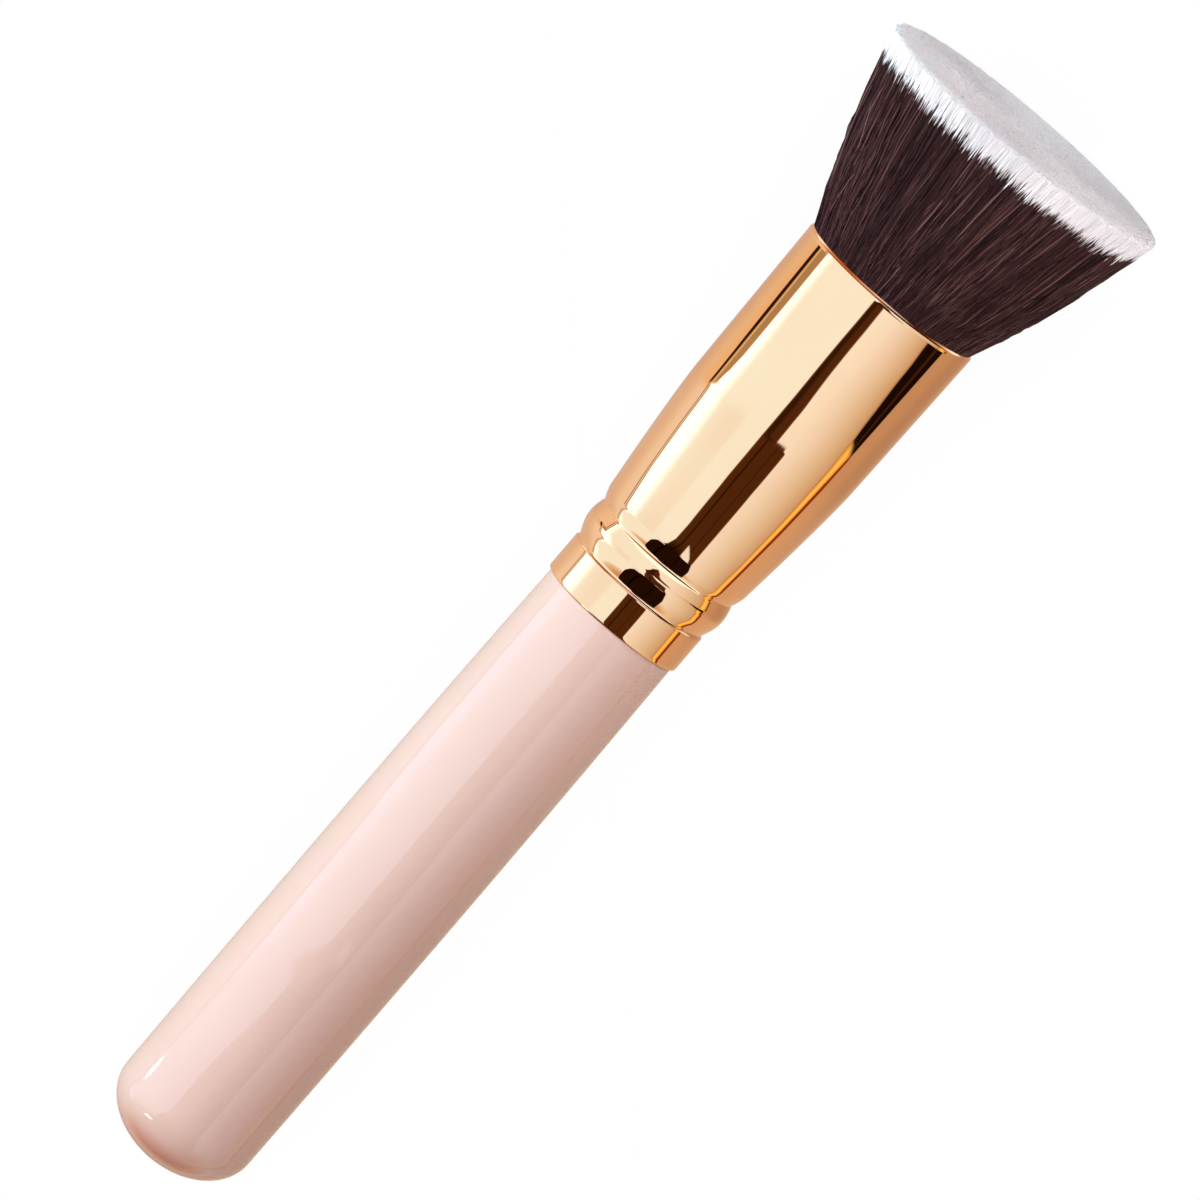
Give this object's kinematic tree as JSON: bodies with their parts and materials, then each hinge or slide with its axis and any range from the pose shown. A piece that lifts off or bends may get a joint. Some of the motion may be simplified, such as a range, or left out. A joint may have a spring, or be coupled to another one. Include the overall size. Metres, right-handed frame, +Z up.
{
  "type": "makeup brush",
  "caption": "Flat-top face makeup brush: turned lacquered handle with a rounded end, spun metal ferrule with a crimped bead, and a dense flared tuft trimmed flat.",
  "frame": {"origin": "on the table, under the middle of the brush's box, the brush lying on its side on the rim of its bristles and the end of its handle", "axes": "+X from the handle's rounded end toward the bristles, +Y across the brush, +Z up from the table"},
  "size_m": [0.1558, 0.0386, 0.0382],
  "materials": {
    "pink_lacquer": "gloss",
    "rose_gold": "polished",
    "bristle": "satin",
    "binding_thread": "matte",
    "cast_resin": "satin",
    "set_glue": "satin"
  },
  "bodies": {
    "root": {"handle": "pink_lacquer", "ferrule": "rose_gold", "bristle_tuft": "bristle", "tuft_binding": "binding_thread", "resin_plug": "cast_resin", "tenon_adhesive": "set_glue"}
  },
  "joints": []
}
